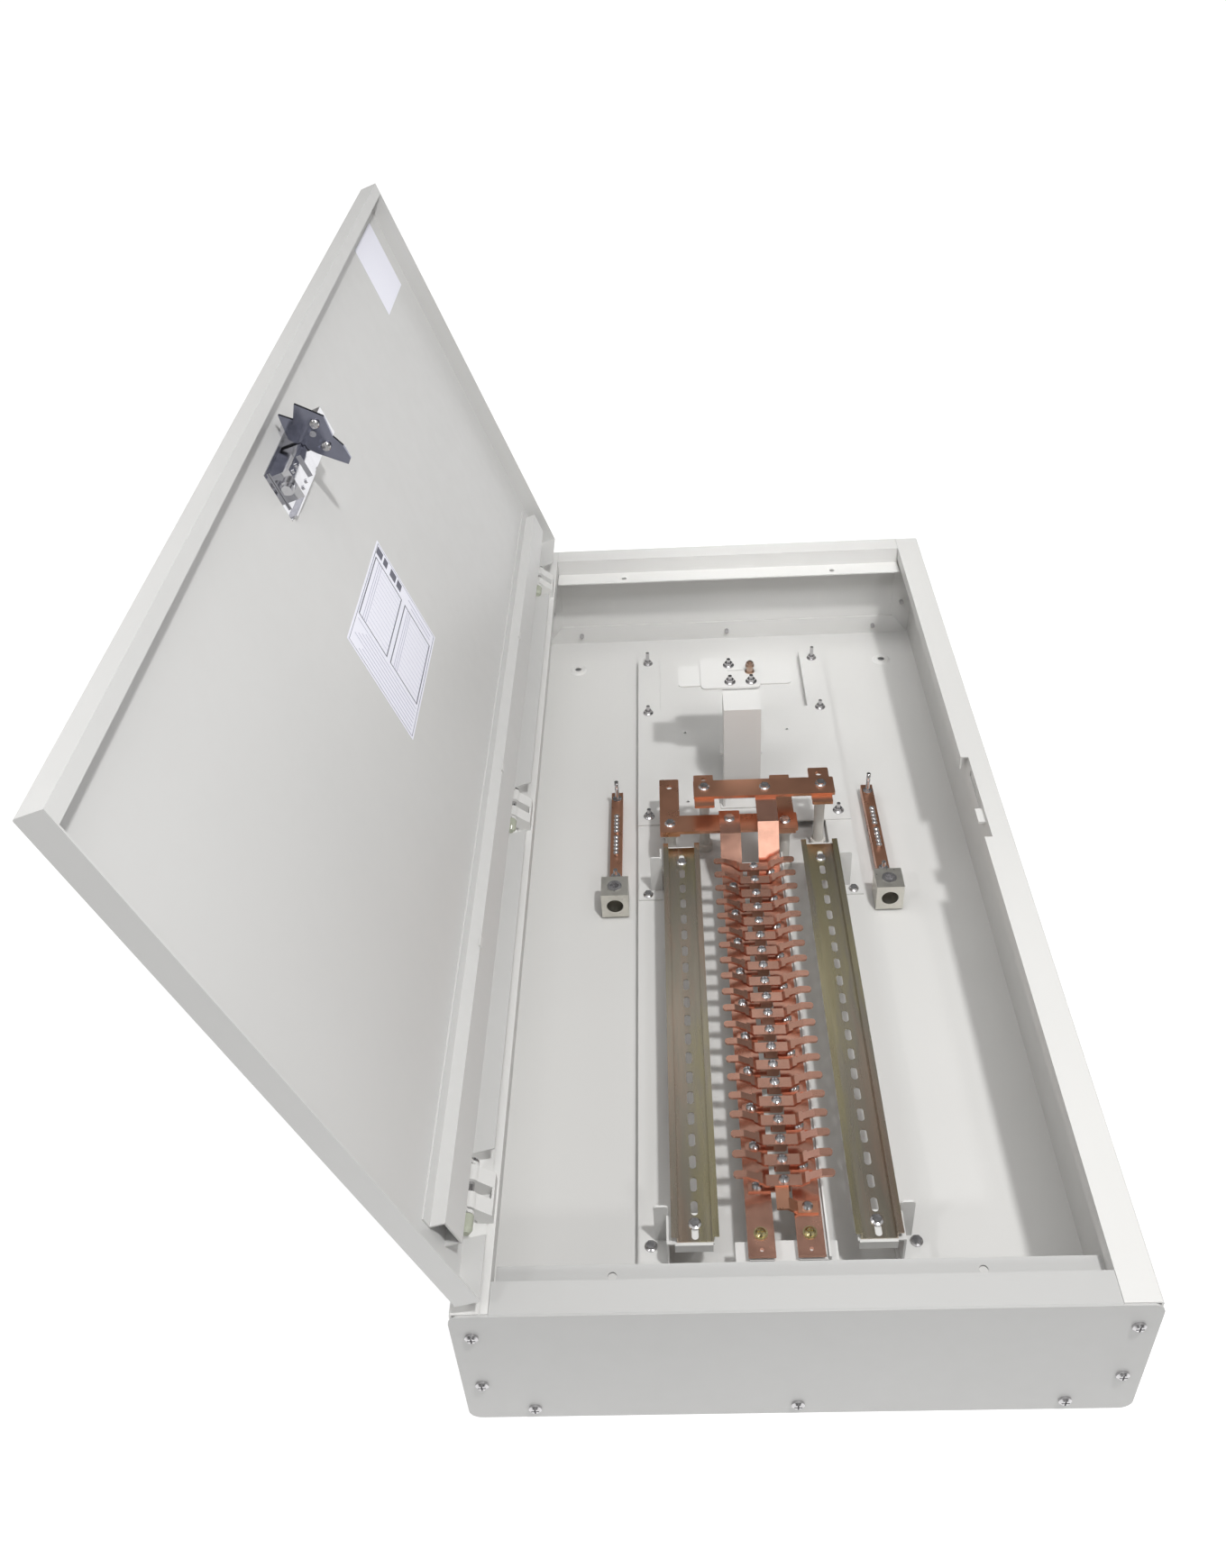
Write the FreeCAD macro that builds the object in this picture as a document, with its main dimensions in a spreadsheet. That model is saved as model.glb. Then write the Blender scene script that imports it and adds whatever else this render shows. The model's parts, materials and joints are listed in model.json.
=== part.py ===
import FreeCAD, Part
import Sketcher
import os

os.makedirs("parts", exist_ok=True)
doc = FreeCAD.newDocument("load_center")

# ---------------------------------------------------------------- sizes (mm)
SIZES = [
    # enclosure
    ("box_width", 450), ("box_length", 960), ("box_depth", 132), ("gauge", 1.5),
    ("flange_width", 25), ("return_depth", 14), ("end_tab_height", 24),
    ("sill_depth", 22.2), ("sill_step", 18.5), ("lip_depth", 21.7), ("lip_hole_r", 3),
    ("plate_overhang", 1.4), ("plate_corner_r", 9), ("mount_x", 183), ("mount_y", 419),
    ("mount_hole_r", 4), ("dimple_r", 11), ("dimple_rise", 1.6),
    ("end_screw_side_x", 213), ("end_screw_low_x", 180), ("end_screw_low_z", 13),
    ("end_screw_mid_z", 46), ("end_screw_high_z", 107),
    # latch opening in the free-side flange
    ("notch_depth", 7), ("notch_from", -46), ("notch_to", 66),
    # door and hinges, door drawn closed and then swung open
    ("axis_x", -217), ("axis_z", 147), ("open_angle", 109.6), ("door_left", -219.6),
    ("door_right", 220.6), ("door_end", 481.4), ("door_gauge", 1.2), ("door_rim", 132.6),
    ("door_face", 150.1), ("door_lip", 11), ("hinge_pitch", 397), ("hinge_middle", -2),
    ("relief_x", -207.5), ("relief_half", 30), ("pin_r", 2.6), ("pin_clear", 0.06),
    ("knuckle_r", 5.4), ("knuckle_length", 12), ("knuckle_gap", 9),
    ("stiff_left", -197), ("stiff_right", -173), ("stiff_height", 12), ("stiff_flange", 9),
    ("stiff_from", -453), ("stiff_to", 465),
    # base plates
    ("back_top", 1.5), ("recess_top", 3), ("strip_top", 12), ("upper_top", 13.5),
    ("base_half", 109.5), ("strip_width", 26), ("upper_from", 118), ("arm_from", 315),
    ("upper_to", 425), ("lower_from", -430), ("lower_to", 134), ("stud_x", 98),
    # bridge
    ("bridge_half", 18.7), ("bridge_front", 153), ("bridge_back", 232), ("bridge_top", 131.5),
    # bus assembly
    ("bus_half_gap", 8), ("bus_width", 20), ("bus_low", 41), ("bus_thick", 3),
    ("bus_foot", -390), ("strap_first", 8), ("strap_pitch", 18), ("strap_left", -36),
    ("strap_right", 40), ("strap_thick", 2), ("strap_centre", 52), ("strap_tip", 61),
    ("strap_width", 9.6), ("finger_width", 6.2), ("lower_bar_z", 60), ("upper_bar_z", 80),
    # rails
    ("rail_left_x", -66), ("rail_right_x", 67.5), ("rail_z", 46), ("rail_height", 7.5),
    ("rail_gauge", 1), ("rail_half", 17.5), ("rail_web_half", 13.5), ("rail_from", -379.3),
    ("rail_length", 423.8), ("slot_pitch", 20), ("slot_first", -371.5), ("slot_length", 12.4),
    ("slot_width", 5.2),
    # neutral bars
    ("neutral_x", 131.5), ("neutral_half", 6), ("neutral_low", 4), ("neutral_top", 16),
    ("neutral_to", 168), ("lug_half", 13), ("lug_front", -4), ("lug_back", 22), ("lug_top", 33),
]


class Size:
    """A number together with the sheet expression it comes from."""

    def __init__(self, value, text):
        self.value = float(value)
        self.text = text

    def join(self, other, sign, value):
        return Size(value, "(%s %s %s)" % (self.text, sign, other.text))

    def __add__(self, other):
        other = lift(other)
        return self.join(other, "+", self.value + other.value)

    def __sub__(self, other):
        other = lift(other)
        return self.join(other, "-", self.value - other.value)

    def __mul__(self, other):
        other = lift(other)
        return self.join(other, "*", self.value * other.value)

    def __truediv__(self, other):
        other = lift(other)
        return self.join(other, "/", self.value / other.value)

    def __radd__(self, other):
        return lift(other) + self

    def __rsub__(self, other):
        return lift(other) - self

    def __rmul__(self, other):
        return lift(other) * self

    def __neg__(self):
        return lift(-1) * self


def lift(number):
    if isinstance(number, Size):
        return number
    return Size(number, "(%s)" % repr(round(float(number), 6)))


sheet = doc.addObject("Spreadsheet::Sheet", "Sizes")
S = {}
for row, (alias, value) in enumerate(SIZES, 1):
    sheet.set("A%d" % row, alias)
    sheet.set("B%d" % row, str(value))
    sheet.setAlias("B%d" % row, alias)
    S[alias] = Size(value, "Sizes." + alias)
doc.recompute()

TURNS = {
    "x": FreeCAD.Rotation(FreeCAD.Vector(0, 1, 0), 90),
    "y": FreeCAD.Rotation(FreeCAD.Vector(1, 0, 0), -90),
    "z": FreeCAD.Rotation(),
    "-y": FreeCAD.Rotation(FreeCAD.Vector(1, 0, 0), 90),
    "-z": FreeCAD.Rotation(FreeCAD.Vector(1, 0, 0), 180),
}
count = [0]


def fresh(stem):
    count[0] += 1
    return "%s_%d" % (stem, count[0])


def bind(obj, prop, size):
    size = lift(size)
    if "Sizes." in size.text:
        obj.setExpression(prop, size.text)
    else:
        setattr(obj, prop, size.value)


def put(obj, x, y, z, turn="z"):
    x, y, z = lift(x), lift(y), lift(z)
    base = FreeCAD.Vector(x.value, y.value, z.value)
    obj.Placement = FreeCAD.Placement(base, TURNS[turn])
    for letter, size in (("x", x), ("y", y), ("z", z)):
        if "Sizes." in size.text:
            obj.setExpression("Placement.Base." + letter, size.text)
    return obj


def box(x0, x1, y0, y1, z0, z1):
    o = doc.addObject("Part::Box", fresh("block"))
    bind(o, "Length", lift(x1) - x0)
    bind(o, "Width", lift(y1) - y0)
    bind(o, "Height", lift(z1) - z0)
    return put(o, x0, y0, z0)


def rod(x, y, z, radius, length, turn="z"):
    o = doc.addObject("Part::Cylinder", fresh("rod"))
    bind(o, "Radius", radius)
    bind(o, "Height", length)
    return put(o, x, y, z, turn)


def cone(x, y, z, r1, r2, length, turn="z"):
    o = doc.addObject("Part::Cone", fresh("cone"))
    bind(o, "Radius1", r1)
    bind(o, "Radius2", r2)
    bind(o, "Height", length)
    return put(o, x, y, z, turn)


def hexagon(x, y, z, radius, length, turn="z"):
    o = doc.addObject("Part::Prism", fresh("hexagon"))
    o.Polygon = 6
    bind(o, "Circumradius", radius)
    bind(o, "Height", length)
    return put(o, x, y, z, turn)


def fuse(parts, name=None):
    o = doc.addObject("Part::MultiFuse", name or fresh("fuse"))
    o.Shapes = parts
    return o


def cut(base, tools, name=None):
    tool = tools[0] if len(tools) == 1 else fuse(tools)
    o = doc.addObject("Part::Cut", name or fresh("cut"))
    o.Base = base
    o.Tool = tool
    return o


def group(parts, name):
    o = doc.addObject("Part::Compound", name)
    o.Links = parts
    return o


def section(name, plane, points, depth, x=0, y=0, z=0):
    """A body padded both ways from an outline on one of its origin planes."""
    body = doc.addObject("PartDesign::Body", name)
    sketch = body.newObject("Sketcher::SketchObject", fresh(name + "_outline"))
    planes = {f.Role: f for f in body.Origin.OriginFeatures}
    sketch.AttachmentSupport = (planes[plane], [""])
    sketch.MapMode = "FlatFace"
    pts = [(lift(a), lift(b)) for a, b in points]
    corners = [FreeCAD.Vector(a.value, b.value, 0) for a, b in pts]
    total = len(corners)
    for i in range(total):
        sketch.addGeometry(Part.LineSegment(corners[i], corners[(i + 1) % total]), False)
    for i in range(total):
        sketch.addConstraint(Sketcher.Constraint("Coincident", i, 2, (i + 1) % total, 1))
    for i, pair in enumerate(pts):
        for kind, size in zip(("DistanceX", "DistanceY"), pair):
            at = sketch.addConstraint(Sketcher.Constraint(kind, -1, 1, i, 1, size.value))
            if "Sizes." in size.text:
                sketch.setExpression("Constraints[%d]" % at, size.text)
    pad = body.newObject("PartDesign::Pad", fresh(name + "_pad"))
    pad.Profile = sketch
    pad.SideType = "Symmetric"
    bind(pad, "Length", depth)
    sketch.Visibility = False
    put(body, x, y, z)
    return body


def outline(points, plane, lift_to, depth):
    """A straight prism from a plain outline, for shapes cut or fused further."""
    at = {"xz": lambda a, b: FreeCAD.Vector(a, lift(lift_to).value, b),
          "yz": lambda a, b: FreeCAD.Vector(lift(lift_to).value, a, b),
          "xy": lambda a, b: FreeCAD.Vector(a, b, lift(lift_to).value)}[plane]
    way = {"xz": FreeCAD.Vector(0, 1, 0), "yz": FreeCAD.Vector(1, 0, 0),
           "xy": FreeCAD.Vector(0, 0, 1)}[plane]
    wire = doc.addObject("Part::Polygon", fresh("outline"))
    wire.Nodes = [at(lift(a).value, lift(b).value) for a, b in points]
    wire.Close = True
    solid = doc.addObject("Part::Extrusion", fresh("prism"))
    solid.Base = wire
    solid.DirMode = "Custom"
    solid.Dir = way
    solid.Solid = True
    bind(solid, "LengthFwd", depth)
    return solid


def rounded(x0, x1, y0, y1, z0, z1, r):
    """A flat plate with its four upright corners rounded."""
    x0, x1, y0, y1, r = lift(x0), lift(x1), lift(y0), lift(y1), lift(r)
    parts = [box(x0 + r, x1 - r, y0, y1, z0, z1), box(x0, x1, y0 + r, y1 - r, z0, z1)]
    for cx in (x0 + r, x1 - r):
        for cy in (y0 + r, y1 - r):
            parts.append(rod(cx, cy, z0, r, lift(z1) - z0))
    return fuse(parts)


def step_axis(x, y, z, turn, d):
    """The point a distance d along a turned part's own axis."""
    way = TURNS[turn].multVec(FreeCAD.Vector(0, 0, 1))
    return [lift(c) + d * round(w, 6) if abs(w) > 0.5 else lift(c)
            for c, w in zip((x, y, z), (way.x, way.y, way.z))]


def pan_screw(x, y, z, turn, head_r, head_h, shank_r, shank_l):
    """Pan head above the face at (x, y, z), shank below it, with a crossed recess."""
    top = step_axis(x, y, z, turn, head_h * 0.55)
    low = step_axis(x, y, z, turn, -shank_l)
    body = fuse([rod(x, y, z, head_r, head_h * 0.56, turn),
                 cone(*top, head_r, head_r * 0.62, head_h * 0.45, turn),
                 rod(*low, shank_r, shank_l + 0.2, turn)])
    a, b, deep = head_r * 0.62, head_r * 0.12, head_h * 0.6
    at = step_axis(x, y, z, turn, head_h)
    tools = []
    for u, v in ((a, b), (b, a)):
        half = {"z": (u, v, deep), "-z": (u, v, deep), "y": (u, deep, v), "-y": (u, deep, v),
                "x": (deep, u, v)}[turn]
        tools.append(box(at[0] - half[0], at[0] + half[0], at[1] - half[1], at[1] + half[1],
                         at[2] - half[2], at[2] + half[2]))
    return cut(body, tools)


def hex_bolt(x, y, z, turn, flat_r, head_h, shank_r, shank_l, flange_r=0):
    low = step_axis(x, y, z, turn, -shank_l)
    parts = [hexagon(x, y, z, flat_r, head_h, turn), rod(*low, shank_r, shank_l + 0.2, turn)]
    if flange_r:
        parts.append(rod(x, y, z, flange_r, 1.1, turn))
        parts.append(cone(*step_axis(x, y, z, turn, 1.1), flange_r, flat_r * 0.85, 0.9, turn))
    return fuse(parts)


def stud_nut(x, y, z, rise, nut_r=4.2, nut_h=4.2, stud_r=2, below=4):
    """A threaded stud standing through a flanged nut."""
    return fuse([rod(x, y, lift(z) - below, stud_r, rise + below),
                 rod(x, y, z, nut_r * 1.35, 1), cone(x, y, lift(z) + 1, nut_r * 1.35, nut_r * 0.9, 0.9),
                 hexagon(x, y, z, nut_r, nut_h)])


W, L, D, T = S["box_width"], S["box_length"], S["box_depth"], S["gauge"]
nodes = []


def keep(obj, label):
    obj.Label = label
    nodes.append(obj)
    return obj


# ---------------------------------------------------------------- enclosure
hw, inner = W / 2, W / 2 - S["flange_width"]
ret = S["return_depth"]
fold = 1.2
profile = [(-hw, 0), (hw, 0), (hw, D - fold), (hw - fold, D), (inner, D), (inner, D - ret),
           (inner + T, D - ret), (inner + T, D - T), (hw - T, D - T), (hw - T, T), (-hw + T, T),
           (-hw + T, D - T), (-inner - T, D - T), (-inner - T, D - ret), (-inner, D - ret),
           (-inner, D), (-hw + fold, D), (-hw, D - fold)]
channel = section("wrap_channel", "XZ_Plane", profile, L)
tabs = []
tools = []
for s in (-1, 1):
    near, far = s * (L / 2), s * (L / 2 - T)
    y0, y1 = (near, far) if s < 0 else (far, near)
    th = S["end_tab_height"]
    tabs.append(outline([(-hw + T, T), (hw - T, T), (hw - T - 20, T + th), (-hw + T + 20, T + th)],
                        "xz", y0, T))
    for side in (-1, 1):
        x0, x1 = side * (hw - T), side * (hw - T - 22)
        tabs.append(outline([(x0, T + 8), (x0, D - ret - 2), (x1, D - ret - 24), (x1, T + 30)],
                            "xz", y0, T))
    for x in (-1, 0, 1):
        tools.append(rod(x * S["end_screw_low_x"], lift(s) * (L / 2) - 5, S["end_screw_low_z"],
                         2.55, 10, "y"))
    for side in (-1, 1):
        for z in (S["end_screw_mid_z"], S["end_screw_high_z"]):
            tools.append(rod(side * S["end_screw_side_x"], lift(s) * (L / 2) - 5, z, 2.55, 10, "y"))
rings = []
for sx in (-1, 1):
    for sy in (-1, 1):
        rings.append(cone(sx * S["mount_x"], sy * S["mount_y"], T - 0.1, S["dimple_r"],
                          S["dimple_r"] - 3, S["dimple_rise"] + 0.1))
        tools.append(rod(sx * S["mount_x"], sy * S["mount_y"], -1, S["mount_hole_r"], 8))
        tools.append(cone(sx * S["mount_x"], sy * S["mount_y"], -0.01, S["dimple_r"] - 1.5,
                          S["dimple_r"] - 4.5, S["dimple_rise"]))
tools.append(box(inner - 1, inner + S["notch_depth"], S["notch_from"], S["notch_to"], D - ret - 1, D + 1))
tools.append(box(-206.1, -204.9, -L / 2 - 1, L / 2 + 1, D - 0.7, D + 1))
keep(cut(fuse([channel] + tabs + rings), tools, "enclosure_wrap"), "enclosure_wrap")

strike = fuse([box(inner + S["notch_depth"], inner + S["notch_depth"] + 1.2, -60, 80, D - T - 26, D - T),
               box(inner + S["notch_depth"] + 1.1, hw - T - 6, -60, 80, D - T - 1.2, D - T),
               box(inner + 0.5, inner + S["notch_depth"] + 0.2, -20, -2, D - T - 6, D - T - 4)])
keep(cut(strike, [box(inner, inner + 12, 2, 52, D - 12, D - 4.5)], "latch_strike"), "latch_strike")


def end_plate(s, name):
    out = s * (L / 2)
    over = S["plate_overhang"]
    r = S["plate_corner_r"]
    x1, z0, z1 = hw + over, lift(0), D - 1
    y0 = (L / 2) if s > 0 else -(L / 2) - T
    face = [box(-x1 + r, x1 - r, y0, y0 + T, z0, z1), box(-x1, x1, y0, y0 + T, z0 + r, z1 - r)]
    for x in (-x1 + r, x1 - r):
        for z in (z0 + r, z1 - r):
            face.append(rod(x, y0, z, r, T, "y"))
    edge = inner - 0.3
    a, b = L / 2 + T, L / 2 - S["sill_depth"]
    c, zl = b - S["lip_depth"], D - S["sill_step"]
    path = [(a, D - 8), (a, D - 1.2), (a - 1.2, D), (b, D), (b, zl), (c, zl), (c, zl - T),
            (b + T, zl - T), (b + T, D - T), (a - T - 0.4, D - T), (a - T, D - T - 0.6), (a - T, D - 8)]
    sill = section(name + "_sill", "YZ_Plane", [(s * p, q) for p, q in path], edge * 2)
    holes = [rod(x * S["end_screw_low_x"], y0 - 1, S["end_screw_low_z"], 2.6, 4, "y") for x in (-1, 0, 1)]
    for side in (-1, 1):
        for z in (S["end_screw_mid_z"], S["end_screw_high_z"]):
            holes.append(rod(side * S["end_screw_side_x"], y0 - 1, z, 2.6, 4, "y"))
        holes.append(rod(side * 122, s * (c + 8.5), zl - 3, S["lip_hole_r"], 6))
    keep(cut(fuse(face + [sill]), holes, name), name)


end_plate(1, "end_plate_head")
end_plate(-1, "end_plate_foot")
screws = []
for s, turn in ((1, "y"), (-1, "-y")):
    y = s * (L / 2 + T)
    places = [(x * S["end_screw_low_x"], S["end_screw_low_z"]) for x in (-1, 0, 1)]
    places += [(x * S["end_screw_side_x"], z) for x in (-1, 1)
               for z in (S["end_screw_mid_z"], S["end_screw_high_z"])]
    screws += [pan_screw(x, y, z, turn, 4.5, 3, 2.5, 7) for x, z in places]
keep(group(screws, "end_plate_screws"), "end_plate_screws")

# ---------------------------------------------------------------- hinges, box side
ax, az = S["axis_x"], S["axis_z"]
hinge_rows = [S["hinge_middle"] + i * S["hinge_pitch"] for i in (-1, 0, 1)]
half_gap, kl = S["knuckle_gap"] / 2, S["knuckle_length"]
brackets, pins, leaves = [], [], []
for yc in hinge_rows:
    lo, hi = yc - half_gap - kl, yc + half_gap + kl
    solids = [box(-213, -201.5, lo, hi, D, D + 1.8), box(-203.3, -201.5, lo, hi, D + 1.7, D + 9)]
    for y0 in (lo, yc + half_gap):
        solids.append(outline([(-203.3, D + 1), (-201.5, D + 9), (ax + 2, az + 4.6), (ax - 3.6, az - 3.8),
                               (-211, D + 1)], "xz", y0, kl))
        solids.append(rod(ax, y0, az, S["knuckle_r"], kl, "y"))
    bore = rod(ax, lo - 1, az, S["pin_r"] + S["pin_clear"], hi - lo + 2, "y")
    brackets.append(cut(fuse(solids), [bore]))
    pin = [rod(ax, lo - 9, az, S["pin_r"], hi - lo + 16, "y"),
           rod(ax, lo - 14, az, 4.4, 10, "y"), cone(ax, lo - 17, az, 2.4, 4.4, 3.05, "y"),
           rod(ax, hi + 3.6, az, 4.2, 1.6, "y"), cone(ax, hi + 5.2, az, 4.2, 2.6, 1, "y")]
    pins.append(fuse(pin))
keep(group(brackets, "hinge_brackets"), "hinge_brackets")
keep(group(pins, "hinge_pins"), "hinge_pins")

# ---------------------------------------------------------------- base plates
bh, sw = S["base_half"], S["strip_width"]
rt, st, ut = S["recess_top"], S["strip_top"], S["upper_top"]
lf, lt = S["lower_from"], S["lower_to"]
ledge = bh - sw
pan = [(-bh, T), (-bh + T, T), (-bh + T, st - T), (-ledge - T, st - T), (-ledge - T, T), (ledge + T, T),
       (ledge + T, st - T), (bh - T, st - T), (bh - T, T), (bh, T), (bh, st), (ledge, st), (ledge, rt),
       (-ledge, rt), (-ledge, st), (-bh, st)]
tray = section("lower_base_tray", "XZ_Plane", pan, lt - lf, 0, (lt + lf) / 2, 0)
stud_rows = (410, 311, 131)
holes = [rod(sx * S["stud_x"], 131, st - 4, 2.1, 8) for sx in (-1, 1)]
foot_bolt_y, head_bolt_y = -362, 15
for sx in (-1, 1):
    for y in (foot_bolt_y, head_bolt_y):
        holes.append(rod(sx * 99.5, y, st - 4, 3.1, 8))
keep(cut(tray, holes, "lower_base_plate"), "lower_base_plate")
uf, ua, uto = S["upper_from"], S["arm_from"], S["upper_to"]
upper = [box(-bh, bh, uf, ua, st, ut), box(-bh, -84, ua - 1, uto, st, ut), box(84, bh, ua - 1, uto, st, ut),
         box(-bh, -bh + T, lt + 1, uto, T, st + 0.5), box(bh - T, bh, lt + 1, uto, T, st + 0.5),
         box(-84 - T, -84, ua, uto, T, st + 0.5), box(84, 84 + T, ua, uto, T, st + 0.5)]
holes = [rod(sx * S["stud_x"], y, st - 4, 2.1, 8) for sx in (-1, 1) for y in stud_rows]
holes += [rod(x, y, st - 4, 1.6, 8) for x, y in ((-57, 272), (57, 272), (-57, 153))]
holes += [rod(x, y, st - 4, 2.15, 8) for x in (-12, 12) for y in (196, 212)]
keep(cut(fuse(upper), holes, "upper_base_plate"), "upper_base_plate")
nuts = [stud_nut(sx * S["stud_x"], y, ut, 16 if y > 400 else 10, below=(6 if y < 200 else 9))
        for sx in (-1, 1) for y in stud_rows]
keep(group(nuts, "base_plate_nuts"), "base_plate_nuts")

# ---------------------------------------------------------------- bridge
bx, by0, by1, bt = S["bridge_half"], S["bridge_front"], S["bridge_back"], S["bridge_top"]
wall = 1.8
bridge = [box(-bx, bx, by0, by0 + wall, ut, bt), box(-bx, bx, by0, by1, bt - wall, bt),
          box(-bx, -bx + wall, by0, by0 + 32, ut, bt), box(bx - wall, bx, by0, by0 + 32, ut, bt),
          box(-23, 23, by0 - 14, by0 + 1, ut, ut + wall), box(-bx, bx, by0 + 30, by0 + 68, ut, ut + wall),
          box(-bx - 1.6, -bx + 0.4, by0 - 12, by0 + 10, ut, ut + 18),
          box(bx - 0.4, bx + 1.6, by0 - 12, by0 + 10, ut, ut + 18),
          box(-bx - 3.4, -bx + 0.4, by0 + 12, by0 + 30, ut + 52, ut + 53.8),
          box(bx - 0.4, bx + 2.4, by0 + 12, by0 + 22, ut + 52, ut + 53.8)]
top_holes = [(-10.3, 196), (11.3, 196), (-10.3, 226)]
standoff_at = (11, 214)
tools = [rod(x, y, bt - 6, 2.1, 14) for x, y in top_holes + [standoff_at]]
tools += [rod(x, y, ut - 1, 2.15, 5) for x in (-12, 12) for y in (196, 212)]
keep(cut(fuse(bridge), tools, "breaker_bridge"), "breaker_bridge")
strip = cut(rounded(-63, 52.5, 199 - 4, 227 + 4, bt, bt + 1.4, 4),
            [rod(x, y, bt - 6, 2.1, 14) for x, y in top_holes + [standoff_at]])
keep(strip, "bridge_ear_strip")
plates = rounded(-40, 20.5, 187, 240, bt + 1.4, bt + 3.6, 5)
slit = box(-12, 4, 216.4, 217.4, bt, bt + 8)
keep(cut(plates, [rod(x, y, bt - 6, 2.1, 14) for x, y in top_holes + [standoff_at]] + [slit],
         "bridge_top_plate"), "bridge_top_plate")
pz = bt + 3.6
top_nuts = [stud_nut(x, y, pz, 8.2, below=8) for x, y in top_holes]
sx0, sy0 = standoff_at
standoff = fuse([rod(sx0, sy0, pz, 4.9, 1.2), rod(sx0, sy0, pz, 3.4, 7.4), rod(sx0, sy0, pz + 7.2, 4.6, 1.1),
                 hexagon(sx0, sy0, pz + 8.1, 3.8, 3.4), rod(sx0, sy0, pz - 7, 2, 20)])
keep(standoff, "bridge_standoff")
feet = [hex_bolt(x, y, ut + wall, "z", 3.6, 3, 2.1, 5, 4.6) for x in (-12, 12) for y in (196, 212)]
keep(group(top_nuts + feet, "bridge_fasteners"), "bridge_fasteners")

# ---------------------------------------------------------------- bus assembly
bg, bw, bl, bt2, bf = (S["bus_half_gap"], S["bus_width"], S["bus_low"], S["bus_thick"], S["bus_foot"])
first, pitch = S["strap_first"], S["strap_pitch"]
strap_rows = [first - i * pitch for i in range(20)]
left_x, right_x = -bg - bw / 2, bg + bw / 2
bus_top = bl + bt2
support = [box(-27, -9, bf, 40, bl - 5, bl - 3), box(9, 32, bf, 40, bl - 5, bl - 3),
           box(30.4, 32, bf, 40, bl - 3.5, bl + 1)]
for y in (bf, -186, 16):
    support.append(box(-27, 31, y, lift(y) + 17, rt, bl - 4.9))
support.append(box(-37, 38, bf, bf + 17, bl - 10, bl - 6))
for y in (bf + 2, -280, -180, -80, 18):
    support.append(box(-27, -9, y, lift(y) + 14, bl - 3.1, bl))
    support.append(box(9, 29, y, lift(y) + 14, bl - 3.1, bl))
keep(fuse(support, "bus_support"), "bus_support")


def bus(side, rise_to, end, name):
    x = left_x if side < 0 else right_x
    z0, z1, t = bl, lift(rise_to), bt2
    path = [(bf, z0), (22, z0), (44, z1 - 1), (end, z1 - 1), (end, z1 - 1 + t), (42.6, z1 - 1 + t),
            (20.6, z0 + t), (bf, z0 + t)]
    body = section(name + "_strip", "YZ_Plane", path, bw, x, 0, 0)
    holes = [rod(x, y, bl - 1, 2.15, 6) for y in bus_bolt_rows[side]]
    holes += [rod(x, bf + 18, bl - 1, 2.15, 6), rod(x, bf + 5, bl - 1, 1.6, 6)]
    holes.append(rod(x, end - 12, z1 - 3, 3.1, 8))
    return keep(cut(body, holes, name), name)


# every strap reaches down to one bus, alternately left and right
strap_side = [(-1 if i % 2 else 1) for i in range(20)]
bus_bolt_rows = {s: [strap_rows[i] for i in range(20) if strap_side[i] == s] for s in (-1, 1)}
link_row = -352
bus_bolt_rows[1].append(link_row)
lz, uz = S["lower_bar_z"], S["upper_bar_z"]
bus(-1, lz + 4, 76, "left_main_bus")
bus(1, uz - 2, 102, "right_main_bus")
sl, sr, stk = S["strap_left"], S["strap_right"], S["strap_thick"]
sc, sz, swd, fw = S["strap_centre"], S["strap_tip"], S["strap_width"], S["finger_width"]
mid = (sl + sr) / 2
bolts = []
for i, y in enumerate(strap_rows):
    name = "branch_strap_%02d" % (i + 1)
    side = strap_side[i]
    wave = [(sl, sz), (sl + 9, sz), (mid - 17, sc + 3), (mid - 14, sc), (mid + 14, sc), (mid + 17, sc + 3),
            (sr - 9, sz), (sr, sz), (sr, sz + stk), (sr - 10, sz + stk), (mid + 16, sc + 3 + stk),
            (mid + 13.4, sc + stk), (mid - 13.4, sc + stk), (mid - 16, sc + 3 + stk),
            (sl + 10, sz + stk), (sl, sz + stk)]
    body = section(name + "_wave", "XZ_Plane", wave, swd, 0, y, 0)
    trims = []
    for x0, x1 in ((sl - 1, mid - 19), (mid + 19, sr + 1)):
        trims.append(box(x0, x1, y + fw / 2, y + swd / 2 + 1, sc, sz + 5))
        trims.append(box(x0, x1, y - swd / 2 - 1, y - fw / 2, sc, sz + 5))
    for x, a in ((sl, -1), (sr, 1)):
        x0, x1 = (x - 1, x + fw / 2) if a < 0 else (x - fw / 2, x + 1)
        tip = box(x0, x1, y - fw / 2 - 1, y + fw / 2 + 1, sz - 1, sz + 4)
        trims.append(cut(tip, [rod(x - a * (fw / 2), y, sz - 2, fw / 2, 7)]))
    end = -25 if side < 0 else 25
    inner_x = 6 if side < 0 else -4
    x0, x1 = (end, inner_x) if side < 0 else (inner_x, end)
    lower = [box(x0, x1, y - 4, y + 4, bus_top, bus_top + stk),
             box(-3, 7, y - 4, y + 4, bus_top + 1, sc + 0.2)]
    bx2 = left_x if side < 0 else right_x
    hole = rod(bx2, y, bus_top - 1, 2.15, 5)
    centre = rod(mid, y, bus_top - 1, 1.7, 14)
    keep(cut(fuse([cut(body, trims)] + lower), [hole, centre], name), name)
    bolts.append(pan_screw(bx2, y, bus_top + stk, "z", 4, 3.2, 2.1, 5))

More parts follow.
